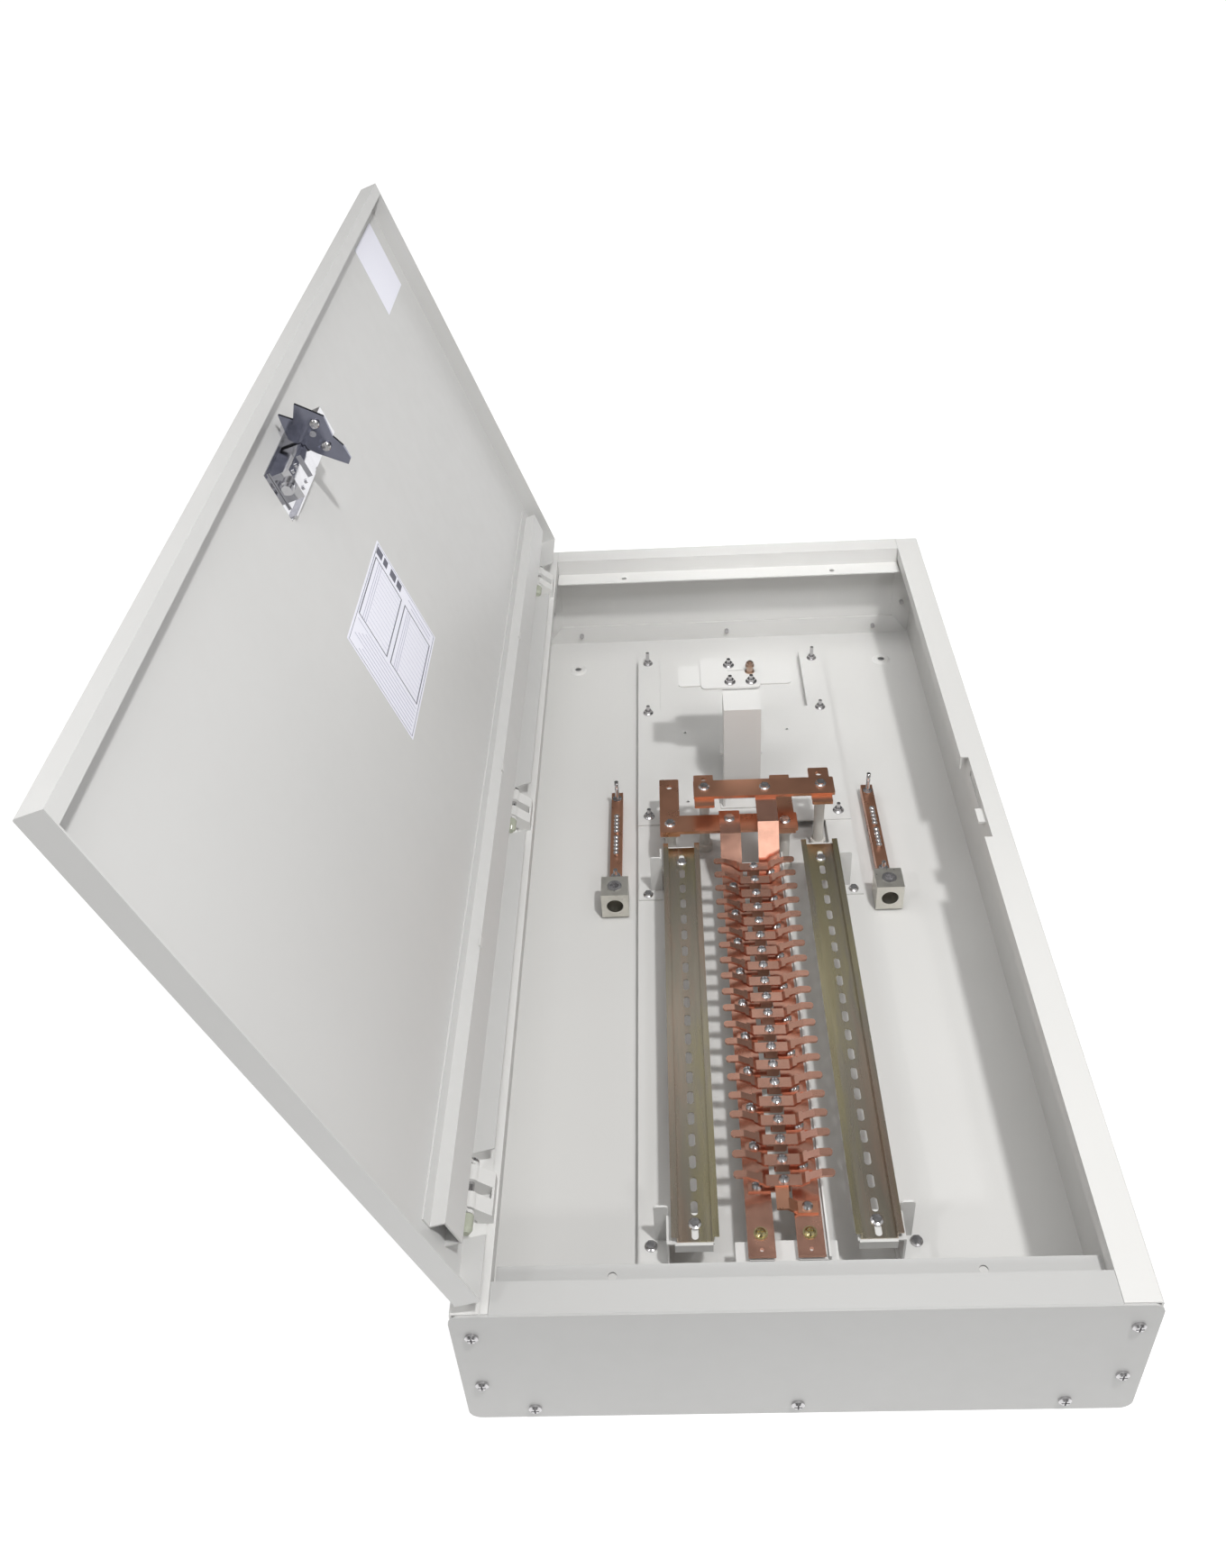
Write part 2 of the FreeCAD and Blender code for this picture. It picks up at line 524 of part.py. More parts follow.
# the last strap is tied to the right bus as well, by a bent link
link = [outline([(-5, 50), (3, 50), (10, 44), (26, 44), (26, 46), (11, 46), (4, 52), (-5, 52)],
                "xz", link_row - 5, 10),
        box(-5, 5, link_row + 4, strap_rows[-1] - 4, 50, 52)]
keep(cut(fuse(link), [rod(right_x, link_row, bus_top - 1, 2.15, 5)], "bus_end_link"), "bus_end_link")
bolts.append(pan_screw(right_x, link_row, bus_top + 2, "z", 4, 3.2, 2.1, 5))
for x in (left_x, right_x):
    bolts.append(pan_screw(x, bf + 18, bus_top, "z", 4, 2.6, 2.1, 4.5))
caps = [pan_screw(mid, y, sc + stk, "z", 4, 3.2, 1.65, 8.5) for y in strap_rows]
keep(group(bolts + caps, "bus_screws"), "bus_screws")

# line-side bars
def plate_with_holes(x0, x1, y0, y1, z, t, holes, r=3.1):
    return cut(rounded(x0, x1, y0, y1, z, lift(z) + t, 1.5), [rod(x, y, lift(z) - 1, r, 6) for x, y in holes])


low_bolts = [(-76, 62), (left_x, 64), (36, 62)]
up_bolts = [(-41.5, 92), (right_x, 90), (73, 92)]
keep(plate_with_holes(-86, 48, 50, 74, lz, 3, low_bolts, 3.15), "lower_crossbar")
keep(plate_with_holes(-52, 86, 78, 103, uz, 3, up_bolts, 3.15), "upper_crossbar")
tab_list = ((-86, -66.5, 50, 134, lz - 3, (-76, 62), (-76, 122)),
            (26, 46, 50, 136, lz - 3, (36, 62), (36, 124)),
            (-51.5, -32, 68, 115, uz - 3, (-41.5, 92), (-41.5, 108)),
            (63, 83, 68, 121, uz - 3, (73, 92), (73, 112)))
tabs = [plate_with_holes(x0, x1, y0, y1, z, 3, [bolt, hole], 3.15)
        for x0, x1, y0, y1, z, bolt, hole in tab_list]
keep(group(tabs[:2], "line_tabs_lower"), "line_tabs_lower")
keep(group(tabs[2:], "line_tabs_upper"), "line_tabs_upper")
line_bolts = [hex_bolt(x, y, lz + 3, "z", 4.2, 3.6, 3.05, 12, 5.4)
              for x, y in (low_bolts[0], low_bolts[2])]
line_bolts.append(hex_bolt(left_x, 64, lz + 6, "z", 4.2, 3.6, 3.05, 14, 5.4))
line_bolts += [hex_bolt(x, y, uz + 3, "z", 4.2, 3.6, 3.05, 12, 5.4)
               for x, y in (up_bolts[0], up_bolts[2])]
line_bolts.append(hex_bolt(right_x, 90, uz + 3, "z", 4.2, 3.6, 3.05, 12, 5.4))
keep(group(line_bolts, "line_bolts"), "line_bolts")
posts = []
for x, y, z in ((-76, 62, lz - 3), (36, 62, lz - 3), (-41.5, 92, uz - 3), (73, 92, uz - 3)):
    bottom = rt
    waist = rod(x, y, bottom + 8, 5.2, z - bottom - 16)
    post = fuse([rod(x, y, bottom, 7.5, 8.1), waist, rod(x, y, z - 8.1, 7.5, 8.1)])
    posts.append(cut(post, [rod(x, y, z - 12, 3.1, 13)]))
keep(group(posts, "line_standoffs"), "line_standoffs")

# ---------------------------------------------------------------- rails and brackets
rail_screw_rows = (-365, 24)


def rail(x, name):
    rz, rh, rg, h, w = S["rail_z"], S["rail_height"], S["rail_gauge"], S["rail_half"], S["rail_web_half"]
    shape = [(-w, rz), (w, rz), (w, rz + rh - rg), (h, rz + rh - rg), (h, rz + rh), (w - rg, rz + rh),
             (w - rg, rz + rg), (-w + rg, rz + rg), (-w + rg, rz + rh), (-h, rz + rh), (-h, rz + rh - rg),
             (-w, rz + rh - rg)]
    y0, ln = S["rail_from"], S["rail_length"]
    body = section(name + "_hat", "XZ_Plane", shape, ln, x, y0 + ln / 2, 0)
    slots = []
    for k in range(21):
        y = S["slot_first"] + k * S["slot_pitch"]
        sw2, sl2 = S["slot_width"] / 2, S["slot_length"] / 2
        slots.append(box(lift(x) - sw2, lift(x) + sw2, y - sl2 + sw2, y + sl2 - sw2, rz - 1, rz + rg + 1))
        slots.append(rod(x, y - sl2 + sw2, rz - 1, sw2, 3))
        slots.append(rod(x, y + sl2 - sw2, rz - 1, sw2, 3))
    slots += [rod(x, y, rz - 1, 2.3, 3) for y in rail_screw_rows]
    keep(cut(body, slots, name), name)


def from_end(end, direction, a, b):
    lo, hi = end + direction * a, end + direction * b
    return (lo, hi) if direction > 0 else (hi, lo)


def mirrored(side, a, b):
    lo, hi = lift(side * a), lift(side * b)
    return (lo, hi) if side > 0 else (hi, lo)


rail(S["rail_left_x"], "din_rail_left")
rail(S["rail_right_x"], "din_rail_right")
rail_z = S["rail_z"]
foot_end, head_end = S["rail_from"], S["rail_from"] + S["rail_length"]
brackets, rail_screws, base_bolts = [], [], []
for side, rx in ((-1, S["rail_left_x"]), (1, S["rail_right_x"])):
    for end, yb, sgn, screw_y in ((foot_end, foot_bolt_y, 1, rail_screw_rows[0]),
                                  (head_end, head_bolt_y, -1, rail_screw_rows[1])):
        fin = from_end(end, sgn, 22.4, 24)
        parts = [box(*mirrored(side, 85.5, 108.5), *from_end(end, sgn, -4, 36), st, st + 1.6),
                 box(*mirrored(side, 85.5, 87.1), *from_end(end, sgn, -1, 24), st, rail_z),
                 box(*mirrored(side, 52, 87.1), *from_end(end, sgn, -1, 24), rail_z - 1.6, rail_z),
                 box(*mirrored(side, 53, 81), *from_end(end, sgn, -2.5, -0.9), rail_z - 8.5, rail_z),
                 box(*mirrored(side, 85.5, 96.5), *fin, st, rail_z + 8),
                 box(*mirrored(side, 88, 94), *fin, rail_z + 7, rail_z + 11),
                 rod(side * 88.5, fin[0], rail_z + 8, 3, 1.6, "y"),
                 rod(side * 93.5, fin[0], rail_z + 8, 3, 1.6, "y")]
        tools = [rod(side * 99.5, yb, st - 2, 3.1, 6), rod(rx, screw_y, rail_z - 4, 2.3, 6)]
        brackets.append(cut(fuse(parts), tools))
        base_bolts.append(hex_bolt(side * 99.5, yb, st + 1.6, "z", 3.8, 3.4, 3, 6, 4.8))
        rail_screws.append(hex_bolt(rx, screw_y, rail_z + 1, "z", 3.6, 3, 2.2, 5, 4.8))
keep(group(brackets, "rail_brackets"), "rail_brackets")
keep(group(base_bolts + rail_screws, "rail_bolts"), "rail_bolts")

# ---------------------------------------------------------------- neutral bars
nx, nh, nl, nt = S["neutral_x"], S["neutral_half"], S["neutral_low"], S["neutral_top"]
lh, l0, l1, ltp = S["lug_half"], S["lug_front"], S["lug_back"], S["lug_top"]
term_rows = [126.5 - 5.6 * i for i in range(5)] + [94 - 5.6 * i for i in range(5)]
lug_solids, lug_screws, term_screws = [], [], []
for side, word in ((-1, "left"), (1, "right")):
    x = side * nx
    bar = [box(x - nh, x + nh, l1 - 3, S["neutral_to"], nl + 3, nt),
           rod(x, 40, T, 4.5, 6), rod(x, 158, T, 4.5, 6)]
    holes = [rod(x, y, nt - 7, 2.6, 8) for y in term_rows]
    holes += [rod(x - 8, y, nt - 6.5, 1.9, 16, "x") for y in term_rows]
    holes += [rod(x, 158, 0.5, 2.1, 20), rod(x, 40, 0.5, 2.1, 20)]
    keep(cut(fuse(bar), holes, "neutral_bar_" + word), "neutral_bar_" + word)
    lug = cut(box(x - lh, x + lh, l0, l1, nl, ltp),
              [rod(x, l0 - 1, (nl + ltp) / 2, 8, l1 - l0 - 3, "y"), rod(x, (l0 + l1) / 2, ltp - 12, 7, 13),
               box(x - nh - 0.1, x + nh + 0.1, l1 - 3.1, l1 + 1, nl + 2.9, nt + 0.1)])
    lug_solids.append(lug)
    plug = cut(rod(x, (l0 + l1) / 2, ltp - 9, 6.94, 9.6), [hexagon(x, (l0 + l1) / 2, ltp - 4, 4.2, 6)])
    lug_screws.append(plug)
    for y in term_rows:
        slot = box(x - 3, x + 3, y - 0.4, y + 0.4, nt + 2, nt + 4)
        term_screws.append(cut(rod(x, y, nt - 3, 2.55, 6.2), [slot]))
    for y, h in ((158, 14), (40, 9)):
        term_screws.append(fuse([rod(x, y, T, 2.05, nt - T + h), hexagon(x, y, nt, 3.9, 2.6),
                                 rod(x, y, nt, 4.9, 0.9)]))
keep(group(lug_solids, "neutral_lugs"), "neutral_lugs")
keep(group(lug_screws + term_screws, "neutral_screws"), "neutral_screws")

# ---------------------------------------------------------------- door, drawn closed
dl, dr, de, dg = S["door_left"], S["door_right"], S["door_end"], S["door_gauge"]
dz0, dz1 = S["door_rim"], S["door_face"]
skin = dz1 - dg
door_shape = [(dl + 1, dz1), (dl, dz1 - 1), (dl, dz0), (dl + dg, dz0), (dl + dg, skin), (dr - dg, skin),
              (dr - dg, dz0 + dg), (dr - S["door_lip"], dz0 + dg), (dr - S["door_lip"], dz0), (dr, dz0),
              (dr, dz1 - 1), (dr - 1, dz1)]
shell = section("door_shell", "XZ_Plane", door_shape, de * 2)
ends = [box(dl + 0.4, dr - 0.4, -de, -de + dg, dz0, dz1 - 0.4),
        box(dl + 0.4, dr - 0.4, de - dg, de, dz0, dz1 - 0.4)]
reliefs = []
for yc in hinge_rows:
    a, b = yc - S["relief_half"] - 6, yc + S["relief_half"]
    reliefs.append(box(dl - 1, S["relief_x"], a, b, dz0 - 1, dz1 + 1))
lock_x0, lock_x1, lock_y0, lock_y1 = 139, 179, -70, 6
reliefs.append(box(lock_x0, lock_x1, lock_y0, lock_y1, skin - 1, dz1 + 1))
panel = keep(cut(fuse([shell] + ends), reliefs, "door_panel"), "door_panel")
q0, q1, qh = S["stiff_left"], S["stiff_right"], S["stiff_height"]
hat = [(q1 + S["stiff_flange"], skin), (q1 + S["stiff_flange"], skin - dg), (q1, skin - dg), (q1, skin - qh),
       (q0, skin - qh), (q0, skin), (q0 + dg, skin), (q0 + dg, skin - qh + dg), (q1 - dg, skin - qh + dg),
       (q1 - dg, skin)]
y0, y1 = S["stiff_from"], S["stiff_to"]
stiffener = keep(section("door_stiffener", "XZ_Plane", hat, y1 - y0, 0, (y0 + y1) / 2, 0), "door_stiffener")
for yc in hinge_rows:
    lo, hi = yc - half_gap - kl, yc + half_gap + kl
    parts = [box(-206.8, -199.5, lo - 3.4, hi + 3.4, skin - 1.6, skin)]
    for y in (lo - 3.4, hi + 1):
        parts.append(rod(ax, y, az, 4.3, 2.4, "y"))
        parts.append(outline([(ax, az - 2.6), (-199.5, skin - 3), (-199.5, skin), (ax, skin)], "xz", y, 2.4))
    leaves.append(cut(fuse(parts), [rod(ax, lo - 6, az, S["pin_r"] + S["pin_clear"], hi - lo + 12, "y")]))
hinge_leaves = keep(group(leaves, "hinge_leaves"), "hinge_leaves")

# latch: cast body flush on the skin, outside paddle handle, forked claw on its own pivot
cx, cz = 174, 124
body_parts = [box(148, 171, -56, -13.4, 136.5, skin), box(150.5, 168.5, -29, -13.4, 134.5, 137),
              box(148, 171, -9.6, 12, 136.5, skin),
              rod(160, -61, 143, 5.4, 6, "y"), rod(160, -64, 143, 3.8, 4, "y"),
              box(162, 184, -9.6, 8, 117, skin),
              rounded(133, 185, -76, 12, dz1, dz1 + 2, 4), box(145, 176, -62, 4, skin - 1.2, skin)]
body_parts += [rod(x, y, 135.4, 1.6, 2) for x in (152.5, 166.5) for y in (-50, -40)]
body_tools = [box(138.8, 179.2, -70.2, 6.2, dz1 - 1, dz1 + 4), rod(cx, -20, cz, 2.6, 30, "y")]
pivot = rod(cx, -13.6, cz, 2.5, 24, "y")
lock_body = keep(fuse([cut(fuse(body_parts), body_tools), pivot], "lock_body"), "lock_body")
claw = [(199.3, 125.5), (188.9, 132.4), (196.5, 140.7), (176.5, 143.6), (158.9, 129.4), (142.4, 112.1),
        (146, 108.2), (157, 108.4), (166.4, 112), (182.7, 110.3)]
sheets = [outline(claw, "xz", -12.5, 2.5), rod(180.4, -13.9, 119, 2.9, 2, "y"),
          rod(161.7, -13.9, 119.9, 2.9, 2, "y")]
hook = keep(cut(fuse(sheets), [rod(cx, -20, cz, 2.56, 30, "y")], "latch_hook"), "latch_hook")
pad_low = dz1 - 1
handle = [rounded(139.6, 176.6, -69.4, 5.4, pad_low, pad_low + 2.6, 2),
          box(172, 176.8, -69.4, 5.4, pad_low, pad_low + 2.6),
          rod(176.8, -69.4, pad_low + 1.3, 1.3, 74.8, "y"),
          box(139.8, 141.2, -66, 2, dz1 - 5, dz1 - 0.5)]
paddle = keep(fuse(handle, "lock_handle"), "lock_handle")

swing = FreeCAD.Placement(FreeCAD.Vector(0, 0, 0),
                          FreeCAD.Rotation(FreeCAD.Vector(0, 1, 0), -S["open_angle"].value),
                          FreeCAD.Vector(ax.value, 0, az.value))
doc.recompute()
for obj in (panel, stiffener, hinge_leaves, lock_body, hook, paddle):
    obj.setExpression("Placement.Base.x", None)
    obj.Placement = swing.multiply(obj.Placement)
doc.recompute()

# ---------------------------------------------------------------- write
failed = [o.Name for o in doc.Objects if "Invalid" in o.State or "Error" in o.State]
failed += [o.Label for o in nodes if o.Shape.isNull() or not o.Shape.isValid()]
if failed:
    raise RuntimeError("not computed: " + ", ".join(failed))
for obj in nodes:
    obj.Shape.exportStep("parts/%s.step" % obj.Label)
print(len(nodes), "nodes")
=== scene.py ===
import json
import math

import bpy
import bmesh
from mathutils import Matrix, Vector


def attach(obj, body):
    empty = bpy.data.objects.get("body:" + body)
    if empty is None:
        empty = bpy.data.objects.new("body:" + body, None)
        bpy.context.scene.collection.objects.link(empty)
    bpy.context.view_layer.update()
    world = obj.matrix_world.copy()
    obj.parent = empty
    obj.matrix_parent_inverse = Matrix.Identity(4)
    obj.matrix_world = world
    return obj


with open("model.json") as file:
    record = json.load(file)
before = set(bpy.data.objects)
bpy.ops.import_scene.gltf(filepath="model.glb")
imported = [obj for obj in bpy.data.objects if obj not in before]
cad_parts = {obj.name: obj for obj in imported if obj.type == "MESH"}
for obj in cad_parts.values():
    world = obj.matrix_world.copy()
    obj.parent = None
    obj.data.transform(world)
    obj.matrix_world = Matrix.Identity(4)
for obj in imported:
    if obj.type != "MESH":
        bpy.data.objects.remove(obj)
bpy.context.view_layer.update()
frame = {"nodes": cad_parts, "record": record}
NODES = frame["nodes"]
JOINTS = {joint["name"]: joint for joint in frame["record"]["behaviour"]["joints"]}


# ---------------------------------------------------------------- node helpers
def material(name, colour, rough, metallic=0.0, coat=0.0, coat_rough=0.1):
    """A new principled material, with its node tree and its shader."""
    made = bpy.data.materials.new(name)
    made.use_nodes = True
    shader = made.node_tree.nodes["Principled BSDF"]
    shader.inputs["Base Color"].default_value = (*colour, 1)
    shader.inputs["Roughness"].default_value = rough
    shader.inputs["Metallic"].default_value = metallic
    shader.inputs["Coat Weight"].default_value = coat
    shader.inputs["Coat Roughness"].default_value = coat_rough
    return made, made.node_tree, shader


def noise(tree, scale, detail, rough=0.55, stretch=(1, 1, 1)):
    """Noise over the object's own coordinates."""
    coord = tree.nodes.new("ShaderNodeTexCoord")
    mapping = tree.nodes.new("ShaderNodeMapping")
    mapping.inputs["Scale"].default_value = stretch
    texture = tree.nodes.new("ShaderNodeTexNoise")
    texture.inputs["Scale"].default_value = scale
    texture.inputs["Detail"].default_value = detail
    texture.inputs["Roughness"].default_value = rough
    tree.links.new(coord.outputs["Object"], mapping.inputs["Vector"])
    tree.links.new(mapping.outputs["Vector"], texture.inputs["Vector"])
    return texture.outputs["Fac"]


def position(tree, axis):
    """One of the object's own coordinates, in metres."""
    coord = tree.nodes.new("ShaderNodeTexCoord")
    split = tree.nodes.new("ShaderNodeSeparateXYZ")
    tree.links.new(coord.outputs["Object"], split.inputs["Vector"])
    return split.outputs[axis]


def calculate(tree, operation, *inputs):
    """A math node over sockets and plain numbers."""
    node = tree.nodes.new("ShaderNodeMath")
    node.operation = operation
    for socket, value in zip(node.inputs, inputs):
        if isinstance(value, bpy.types.NodeSocket):
            tree.links.new(value, socket)
        else:
            socket.default_value = value
    return node.outputs["Value"]


def ramp(tree, value, stops):
    """A colour for the value, from stops of (position, colour)."""
    node = tree.nodes.new("ShaderNodeValToRGB")
    while len(node.color_ramp.elements) < len(stops):
        node.color_ramp.elements.new(0.5)
    for element, (place, colour) in zip(node.color_ramp.elements, stops):
        element.position = place
        element.color = (*colour, 1)
    tree.links.new(value, node.inputs["Fac"])
    return node.outputs["Color"]


def remap(tree, value, at_start, at_end, start=0.3, end=0.7, interpolation="LINEAR"):
    """A number that runs from at_start to at_end as the value runs from start to end, held beyond both."""
    node = tree.nodes.new("ShaderNodeMapRange")
    node.interpolation_type = interpolation
    node.inputs["From Min"].default_value = start
    node.inputs["From Max"].default_value = end
    node.inputs["To Min"].default_value = at_start
    node.inputs["To Max"].default_value = at_end
    tree.links.new(value, node.inputs["Value"])
    return node.outputs["Result"]


def bump(tree, shader, height, strength, distance):
    """Fine relief in the shader's normal."""
    node = tree.nodes.new("ShaderNodeBump")
    node.inputs["Strength"].default_value = strength
    node.inputs["Distance"].default_value = distance
    tree.links.new(height, node.inputs["Height"])
    tree.links.new(node.outputs["Normal"], shader.inputs["Normal"])


def dress(tree, shader, tone, polish):
    """Lead a colour and a roughness into the shader."""
    tree.links.new(tone, shader.inputs["Base Color"])
    tree.links.new(polish, shader.inputs["Roughness"])


def shades(colour, *factors):
    """The colour made darker or lighter by each factor."""
    return [tuple(min(1, channel * factor) for channel in colour) for factor in factors]


# ---------------------------------------------------------------- materials
ZINC_TONE = (0.60, 0.59, 0.60)
GOLD_TONE = (0.66, 0.56, 0.30)
CAP_TONE = (0.40, 0.42, 0.34)


def paint(name, colour):
    """Satin coat whose tone drifts faintly, with a fine orange-peel grain."""
    made, tree, shader = material(name, colour, rough=0.40, coat=0.10, coat_rough=0.3)
    darker, lighter = shades(colour, 0.985, 1.012)
    tone = ramp(tree, noise(tree, scale=3.5, detail=2), [(0.35, darker), (0.65, lighter)])
    polish = remap(tree, noise(tree, scale=60, detail=3), at_start=0.36, at_end=0.46)
    dress(tree, shader, tone, polish)
    bump(tree, shader, noise(tree, scale=900, detail=2), strength=0.08, distance=0.0002)
    return made


def metal(name, colour, rough, scale, spread, tint=(0.9, 1.06), grain=600):
    """Metal whose tone and polish vary in patches, over a fine grain."""
    made, tree, shader = material(name, colour, rough, metallic=1.0)
    darker, lighter = shades(colour, *tint)
    tone = ramp(tree, noise(tree, scale, detail=5, rough=0.6), [(0.3, darker), (0.7, lighter)])
    polish = remap(tree, noise(tree, scale * 3, detail=4, rough=0.6), rough - spread, rough + spread)
    dress(tree, shader, tone, polish)
    bump(tree, shader, noise(tree, grain, detail=3, rough=0.5), strength=0.05, distance=0.0001)
    return made


def chromate(name):
    """Yellow chromate: straw, olive and rose streaks drawn out along the rail."""
    made, tree, shader = material(name, (0.40, 0.36, 0.20), rough=0.3, metallic=1.0)
    streaks = [(0.25, (0.43, 0.35, 0.23)), (0.42, (0.49, 0.44, 0.28)), (0.52, (0.42, 0.38, 0.31)),
               (0.62, (0.49, 0.38, 0.30)), (0.75, (0.39, 0.40, 0.22))]
    wide = noise(tree, scale=22, detail=6, rough=0.65, stretch=(1, 0.12, 1))
    fine = noise(tree, scale=90, detail=4, rough=0.6, stretch=(1, 0.08, 1))
    grain = noise(tree, scale=300, detail=4, rough=0.6, stretch=(1, 0.03, 1))
    dress(tree, shader, ramp(tree, wide, streaks), remap(tree, fine, at_start=0.20, at_end=0.30))
    bump(tree, shader, grain, strength=0.05, distance=0.0001)
    return made


def screw_metal(name, gold_to, zinc_from):
    """Yellow zinc up to one Y, for the two screws at the foot end, and bright zinc from the other."""
    made, tree, shader = material(name, ZINC_TONE, rough=0.2, metallic=1.0)
    gold = remap(tree, position(tree, "Y"), at_start=1.0, at_end=0.0, start=gold_to, end=zinc_from)
    tone = ramp(tree, gold, [(0.0, ZINC_TONE), (1.0, GOLD_TONE)])
    polish = remap(tree, noise(tree, scale=240, detail=4), at_start=0.14, at_end=0.26)
    dress(tree, shader, tone, polish)
    return made


def pin_metal(name, first, pitch, cap_from, cap_to):
    """Bright zinc pins with pale moulded caps on their foot ends; the pins repeat along Y."""
    made, tree, shader = material(name, ZINC_TONE, rough=0.2, metallic=1.0)
    past_cap_start = calculate(tree, "SUBTRACT", position(tree, "Y"), first + cap_from)
    share_of_pitch = calculate(tree, "FRACT", calculate(tree, "DIVIDE", past_cap_start, pitch))
    cap = calculate(tree, "LESS_THAN", share_of_pitch, (cap_to - cap_from) / pitch)
    tone = ramp(tree, cap, [(0.0, ZINC_TONE), (1.0, CAP_TONE)])
    polish = remap(tree, noise(tree, scale=240, detail=4), at_start=0.16, at_end=0.24)
    dress(tree, shader, tone, polish)
    bare = remap(tree, cap, at_start=1.0, at_end=0.0, start=0.0, end=1.0)
    tree.links.new(bare, shader.inputs["Metallic"])
    return made


PAINT = paint("paint", (0.645, 0.640, 0.625))
# painted shade: the door panel and its stiffener take a darker copy of the box paint, standing in for the
# lesser light on the door
PAINT_DOOR_SHADED = paint("paint_door_shaded", (0.585, 0.582, 0.572))
# painted shade: the foot end plate takes a darker copy of the box paint, standing in for the lesser light on
# it
PAINT_END_SHADED = paint("paint_end_shaded", (0.460, 0.458, 0.450))
INSULATOR = paint("insulator", (0.62, 0.60, 0.56))
LABEL = paint("label", (0.84, 0.84, 0.93))
INK = paint("ink", (0.06, 0.06, 0.10))
INK_PALE = paint("ink_pale", (0.40, 0.40, 0.52))
COPPER = metal("copper", (0.72, 0.40, 0.30), rough=0.24, scale=18, spread=0.04, tint=(0.95, 1.03), grain=240)
COPPER_BAR = metal("copper_bar", (0.68, 0.35, 0.23), rough=0.30, scale=18, spread=0.04, tint=(0.94, 1.03),
                   grain=240)
BRONZE = metal("bronze", (0.56, 0.42, 0.34), rough=0.32, scale=60, spread=0.05)
ZINC = metal("zinc", ZINC_TONE, rough=0.20, scale=80, spread=0.07)
GOLD_ZINC = metal("gold_zinc", GOLD_TONE, rough=0.24, scale=80, spread=0.07)
TIN = metal("tin", (0.72, 0.70, 0.64), rough=0.34, scale=60, spread=0.08)
DIECAST = metal("diecast", (0.74, 0.74, 0.77), rough=0.11, scale=50, spread=0.04)
# painted reflection and shade: the claw takes a dark copy of the diecast, standing in for the dim
# surroundings it mirrors
DIECAST_SHADED = metal("diecast_shaded", (0.27, 0.28, 0.35), rough=0.12, scale=50, spread=0.04)
CHROMATE = chromate("chromate")
SCREWS = screw_metal("bus_screw_metal", gold_to=-0.363, zinc_from=-0.360)
PINS = pin_metal("hinge_pin_metal", first=-0.399, pitch=0.397, cap_from=-0.036, cap_to=-0.0195)

BY_SLOT = {"paint": PAINT, "copper": COPPER, "chromate": CHROMATE, "zinc": ZINC, "tin": TIN,
           "diecast": DIECAST, "insulator": INSULATOR}
# nodes drawn in another material than the rest of their slot; the darker paints of the foot end plate and the
# door, and the dark diecast of the claw, are painted shade
BY_NODE = {"bridge_standoff": BRONZE, "end_plate_foot": PAINT_END_SHADED, "bus_end_link": COPPER_BAR,
           "latch_hook": DIECAST_SHADED, "bus_screws": SCREWS, "hinge_pins": PINS,
           "door_panel": PAINT_DOOR_SHADED, "door_stiffener": PAINT_DOOR_SHADED}
DARK_BAR_STARTS = ("line_tabs", "neutral_bar")
DARK_BAR_END = "crossbar"


def node_material(node, slot):
    """The node's own material where it has one, or else its slot's."""
    if node.startswith(DARK_BAR_STARTS) or node.endswith(DARK_BAR_END):
        return COPPER_BAR
    return BY_NODE.get(node, BY_SLOT[slot])


# ---------------------------------------------------------------- soft edges on the CAD nodes
EDGE_WIDTH = {"paint": 0.00042, "copper": 0.0003, "chromate": 0.0002, "diecast": 0.0003, "tin": 0.0005}
FLAT_ANGLE = math.radians(1)
EDGE_ANGLE = math.radians(38)


def soften(part, width):
    """Join the facets of flat faces, then round the sharp edges."""
    flat = part.modifiers.new("flat", "DECIMATE")
    flat.decimate_type = "DISSOLVE"
    flat.angle_limit = FLAT_ANGLE
    edge = part.modifiers.new("edge", "BEVEL")
    edge.width = width
    edge.segments = 2
    edge.limit_method = "ANGLE"
    edge.angle_limit = EDGE_ANGLE
    edge.use_clamp_overlap = False
    edge.harden_normals = True


for row in frame["record"]["subparts"]:
    part = NODES[row["node"]]
    slot = row["material_slot"]
    part.data.materials.clear()
    part.data.materials.append(node_material(row["node"], slot))
    if slot in EDGE_WIDTH:
        soften(part, EDGE_WIDTH[slot])


# ---------------------------------------------------------------- pieces
# The hinge joint's whole range closes the door, so turning back by it opens what is drawn closed.
HINGE = Vector(JOINTS["door_hinge"]["pos_m"])
OPEN_ANGLE = math.radians(JOINTS["door_hinge"]["range_deg"][1])
SWING = Matrix.Translation(HINGE) @ Matrix.Rotation(-OPEN_ANGLE, 4, "Y") @ Matrix.Translation(-HINGE)
MM_PER_M = 1000


def add_piece(name, bm, mat, rides, smooth=False):
    """A named piece of one material that rides on a body; smooth shades all but its flat ends."""
    mesh = bpy.data.meshes.new(name)
    bm.to_mesh(mesh)
    bm.free()
    for face in mesh.polygons:
        face.use_smooth = smooth and len(face.vertices) <= 4
    mesh.materials.append(mat)
    o = bpy.data.objects.new(name, mesh)
    bpy.context.collection.objects.link(o)
    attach(o, rides)


def door_piece(name, boxes, mat):
    """One piece on the door from boxes (x0, x1, y0, y1, z0, z1), in mm on the closed door."""
    bm = bmesh.new()
    for box in boxes:
        x0, x1, y0, y1, z0, z1 = (side / MM_PER_M for side in box)
        scale = Matrix.Diagonal((x1 - x0, y1 - y0, z1 - z0, 1))
        move = Matrix.Translation(((x0 + x1) / 2, (y0 + y1) / 2, (z0 + z1) / 2))
        cube = bmesh.ops.create_cube(bm, size=1)
        bmesh.ops.transform(bm, matrix=move @ scale, verts=cube["verts"])
    bmesh.ops.transform(bm, matrix=SWING, verts=bm.verts)
    add_piece(name, bm, mat, "door")


